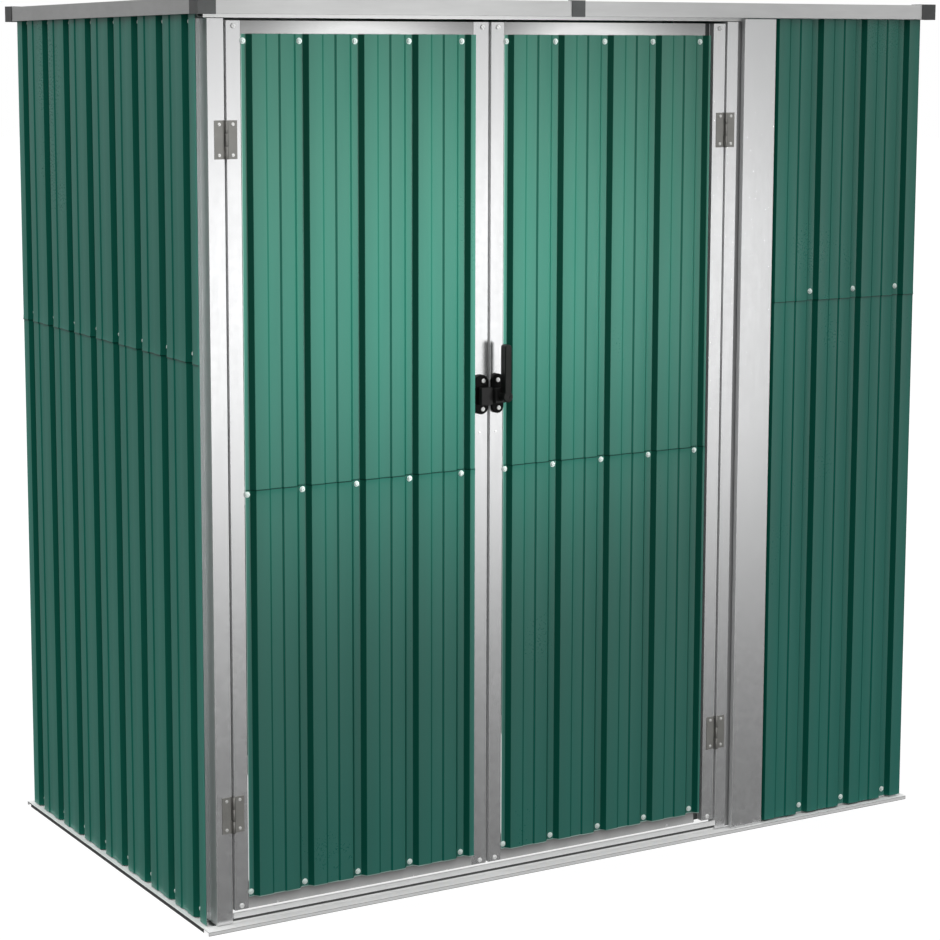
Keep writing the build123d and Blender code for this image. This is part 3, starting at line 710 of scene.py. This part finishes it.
def pan_head(r, h, washer_r=0.0, washer_h=0.0, recess=True):
    """Screw head on an optional washer, millimetres, +Z outward."""
    head = template(lambda bm: lathe(bm, [
        (0, -0.4), (r * 0.96, -0.4), (r, washer_h * 0.9), (r, washer_h + h * 0.34),
        (r * 0.93, washer_h + h * 0.66), (r * 0.76, washer_h + h * 0.88),
        (r * 0.48, washer_h + h * 0.98), (0, washer_h + h)]))
    if recess:
        head = cross_cut(*head, r * 0.52, r * 0.24, h * 0.55, washer_h + h)
    v, f = head
    if washer_r:
        wv, wf = template(lambda bm: lathe(bm, [
            (0, -0.2), (washer_r, -0.2), (washer_r, washer_h * 0.35),
            (washer_r * 0.97, washer_h * 0.62),
            (washer_r * 0.86, washer_h * 0.92), (r * 1.03, washer_h * 1.05),
            (0, washer_h * 0.98)], 24))
        k = len(v)
        v = v + wv
        f = f + [tuple(i + k for i in q) for q in wf]
    return v, f


SHEET_SCREW = pan_head(4.2, 2.5, 6.0, 1.2)
HINGE_SCREW = pan_head(3.4, 1.5, 0, 0)
LATCH_SCREW = pan_head(4.7, 2.3, 0, 0)
FRAME_SCREW = pan_head(5.0, 2.6, 0, 0)
RIVET = pan_head(2.6, 0.7, 0, 0, recess=False)

OUT = {"front": Vector((0, -1, 0)), "back": Vector((0, 1, 0)),
       "left": Vector((-1, 0, 0)), "right": Vector((1, 0, 0)),
       "up": Vector((0, -math.sin(-FALL), math.cos(FALL)))}


def screws(name, kind, spots, body, mat=None):
    """Joined mesh of like screws; spots are (x, y, z, side) in drawing mm."""
    tv, tf = kind
    verts, faces = [], []
    for x, y, z, side in spots:
        n = OUT[side].normalized()
        q = n.to_track_quat("Z", "Y").to_matrix()
        q = q @ Matrix.Rotation(rng.uniform(0, math.pi), 3, "Z")
        p = M(x, y, z)
        k = len(verts)
        verts += [p + q @ (v / 1000) for v in tv]
        faces += [tuple(i + k for i in f) for f in tf]
    o = mesh_object(name, verts, faces, mat or SCREW, body, angle=40.0)
    return o


F = -T          # valley floor face in front of the frame plane
FL = -T - LIFT  # the same on a lapping sheet
door_l = [72 + PITCH * k for k in range(5)]
door_r = [652 + PITCH * k for k in range(5)]
screws("left_door_screws", SHEET_SCREW,
       [(x if x > 80 else 73.0, F, 1730, "front") for x in door_l]
       + [(x if x > 80 else 73.0, FL, 863, "front") for x in door_l]
       + [(x if x > 80 else 73.0, FL, 68, "front") for x in door_l], "left_door")
screws("right_door_screws", SHEET_SCREW,
       [(x if x > 660 else 655.5, F, 1730, "front") for x in door_r]
       + [(x if x > 660 else 655.5, FL, 863, "front") for x in door_r]
       + [(x if x > 660 else 655.5, FL, 68, "front") for x in door_r], "right_door")
panel = [1437.5, 1557.5, 1677.5]
screws("front_panel_screws", SHEET_SCREW,
       [(x, FL, 1190, "front") for x in panel]
       + [(x, F, 28, "front") for x in panel], "shed")
left = [57 + PITCH * k for k in range(8)]
screws("left_wall_screws", SHEET_SCREW,
       [(X_LEFT - T - LIFT, y, 1136, "left") for y in left]
       + [(X_LEFT - T, y, 30, "left") for y in left]
       + [(X_LEFT - T - LIFT, y, 1766, "left") for y in left], "shed")
screws("right_wall_screws", SHEET_SCREW,
       [(X_RIGHT + T + LIFT, y, 1136, "right") for y in left]
       + [(X_RIGHT + T, y, 30, "right") for y in left]
       + [(X_RIGHT + T + LIFT, y, 1766, "right") for y in left], "shed")
back = [76 + PITCH * k for k in range(14)]
screws("back_wall_screws", SHEET_SCREW,
       [(x, Y_BACK + T + LIFT, 1136, "back") for x in back]
       + [(x, Y_BACK + T, 30, "back") for x in back]
       + [(x, Y_BACK + T + LIFT, 1757, "back") for x in back], "shed")

screws("left_stile_screws", FRAME_SCREW,
       [(53.5, 0, 1758, "front"), (53.5, 0, 42, "front"),
        (600, 0, 1758, "front"), (600, 0, 42, "front")], "left_door", FRAME_ZINC)
screws("right_stile_screws", FRAME_SCREW,
       [(636, 0, 1758, "front"), (636, 0, 42, "front"),
        (1183, 0, 1758, "front"), (1183, 0, 42, "front")], "right_door", FRAME_ZINC)

screws("left_stile_rivet", RIVET, [(596, 0, 943, "front")], "left_door", FRAME_ZINC)
screws("right_stile_rivet", RIVET, [(633.7, 0, 943, "front")], "right_door", FRAME_ZINC)

HZ = [230 - 29, 230 + 29, 1545 - 29, 1545 + 29]
screws("left_post_hinge_screws", HINGE_SCREW,
       [(22.3, -1.4, z, "front") for z in HZ], "shed", HINGE_ZINC)
screws("left_door_hinge_screws", HINGE_SCREW,
       [(50.7, -1.4, z, "front") for z in HZ], "left_door", HINGE_ZINC)
screws("right_post_hinge_screws", HINGE_SCREW,
       [(1215.4, -1.4, z, "front") for z in HZ], "shed", HINGE_ZINC)
screws("right_door_hinge_screws", HINGE_SCREW,
       [(1187.0, -1.4, z, "front") for z in HZ], "right_door", HINGE_ZINC)
screws("left_latch_screws", LATCH_SCREW,
       [(600, -8, 1049.5, "front"), (599, -8, 991.7, "front")], "left_door", LATCH_ZINC)
screws("right_latch_screws", LATCH_SCREW,
       [(634.5, -8, 1049.5, "front"), (636.5, -8, 992.2, "front")],
       "right_door", LATCH_ZINC)

# ------------------------------------------------------------- floor and light
def floor_mat():
    m = Tree("floor")
    big = m.noise(0.8, 3.0, 0.5)
    col = m.mix(m.span(big, 0.3, 0.7), (0.86, 0.86, 0.86), (0.89, 0.89, 0.89))
    r = m.span(m.noise(30.0, 2.0), 0.3, 0.7, 0.85, 0.95)
    mat = m.finish(col, r, 0.0, m.bump(m.noise(60.0, 2.0), 0.02, 0.0005))
    glow = m.t.nodes.new("ShaderNodeEmission")
    glow.inputs["Strength"].default_value = 1.12
    both = m.t.nodes.new("ShaderNodeMixShader")
    both.inputs[0].default_value = 0.80
    m.t.links.new(m.bsdf.outputs[0], both.inputs[1])
    m.t.links.new(glow.outputs[0], both.inputs[2])
    m.t.links.new(both.outputs[0], m.out.inputs[0])
    return mat


bm = bmesh.new()
bmesh.ops.create_circle(bm, cap_ends=True, radius=40.0, segments=96)
me = bpy.data.meshes.new("floor")
bm.to_mesh(me)
bm.free()
floor = bpy.data.objects.new("floor", me)
floor.data.materials.append(floor_mat())
scene.collection.objects.link(floor)
floor.visible_diffuse = floor.visible_glossy = False
floor.visible_transmission = floor.visible_shadow = False


def studio():
    """Soft room of light: pale above, grey below, a low bright band in front
    and a dark flag to the front left."""
    w = bpy.data.worlds.new("studio")
    scene.world = w
    m = Tree("studio", w)
    x, y, z = m.sep(m.coord.outputs["Generated"])
    az = m.math("ARCTAN2", x, m.math("MULTIPLY", y, -1.0))
    half = m.math("MULTIPLY_ADD", z, 0.5, 0.5)

    def curve(stops, top):
        c = m.ramp(half, [((p + 1) / 2, (v / top,) * 3) for p, v in stops])
        n = m.t.nodes.new("ShaderNodeSeparateColor")
        m.t.links.new(c, n.inputs[0])
        return m.math("MULTIPLY", n.outputs[0], top)

    base = curve([(-1.0, 0.14), (-0.35, 0.16), (0.0, 0.30), (0.3, 0.55), (0.6, 0.92),
                  (1.0, 1.5)], 1.5)
    band = curve([(-0.26, 0.0), (-0.19, 0.45), (-0.15, 1.15), (-0.08, 1.35),
                  (-0.04, 0.95), (0.0, 0.45), (0.04, 0.2), (0.12, 0.08), (0.35, 0.0)], 1.4)
    sky = curve([(0.15, 0.0), (0.35, 0.9), (0.8, 0.9), (0.95, 0.0)], 1.0)
    front = m.math("MULTIPLY", m.span(az, -0.95, -0.72, smooth=True),
                   m.span(az, 0.62, 0.72, 1.0, 0.0, smooth=True))
    flag = m.math("MULTIPLY", m.span(az, -1.90, -1.60, smooth=True),
                  m.span(az, -1.00, -0.75, 1.0, 0.0, smooth=True))
    flag = m.math("MULTIPLY", flag, m.span(z, 0.35, 0.70, 1.0, 0.0, smooth=True))
    base = m.math("MULTIPLY", base, m.math("MULTIPLY_ADD", flag, -0.85, 1.0))
    left = m.math("MULTIPLY", m.span(az, -3.1, -2.7, smooth=True),
                  m.span(az, -2.0, -1.6, 1.0, 0.0, smooth=True))
    light = m.math("MULTIPLY_ADD", band, front, base)
    light = m.math("MULTIPLY_ADD", sky, left, light)
    b = m.t.nodes.new("ShaderNodeBackground")
    m.t.links.new(light, b.inputs["Strength"])
    c = m.t.nodes.new("ShaderNodeBackground")
    lp = m.t.nodes.new("ShaderNodeLightPath")
    mix = m.t.nodes.new("ShaderNodeMixShader")
    m.t.links.new(lp.outputs["Is Camera Ray"], mix.inputs[0])
    m.t.links.new(b.outputs[0], mix.inputs[1])
    m.t.links.new(c.outputs[0], mix.inputs[2])
    m.t.links.new(mix.outputs[0], m.out.inputs[0])
    for n in (b, c):
        n.inputs["Color"].default_value = (1, 1, 1, 1)


studio()


def pool(name, at, to, angle, power, radius=0.35):
    """Spot light with a wide soft rim."""
    d = bpy.data.lights.new(name, "SPOT")
    d.spot_size = math.radians(angle)
    d.spot_blend = 1.0
    d.shadow_soft_size = radius
    d.energy = power
    o = bpy.data.objects.new(name, d)
    scene.collection.objects.link(o)
    o.location = M(*at)
    o.rotation_euler = (M(*to) - M(*at)).to_track_quat("-Z", "Y").to_euler()
    o.visible_glossy = False
    o.visible_camera = False
    return o


pool("pool", (3300, -3000, 1000), (450, 0, 1310), 18.5, 1250.0)

# ---------------------------------------------------------------------- camera
cam = bpy.data.cameras.new("camera")
cam.sensor_width = 36.0
cam.sensor_fit = "AUTO"
cam.lens = 2486.0 / 940 * 36
cam.shift_x, cam.shift_y = 0.0, -0.09
cam.clip_end = 200
cam_o = bpy.data.objects.new("camera", cam)
scene.collection.objects.link(cam_o)
yaw, pitch, roll = math.radians(30.772), math.radians(-7.90), math.radians(0.145)
fwd = Vector((math.sin(yaw) * math.cos(pitch), math.cos(yaw) * math.cos(pitch),
              math.sin(pitch)))
right = Vector((math.cos(yaw), -math.sin(yaw), 0))
up = right.cross(fwd)
r2 = right * math.cos(roll) + up * math.sin(roll)
u2 = -right * math.sin(roll) + up * math.cos(roll)
rot = Matrix((r2, u2, -fwd)).transposed()
cam_o.matrix_world = Matrix.Translation(M(-1972.5, -4275.5, 1731.6)) @ rot.to_4x4()
scene.camera = cam_o

scene.view_settings.view_transform = "Standard"
scene.view_settings.look = "None"
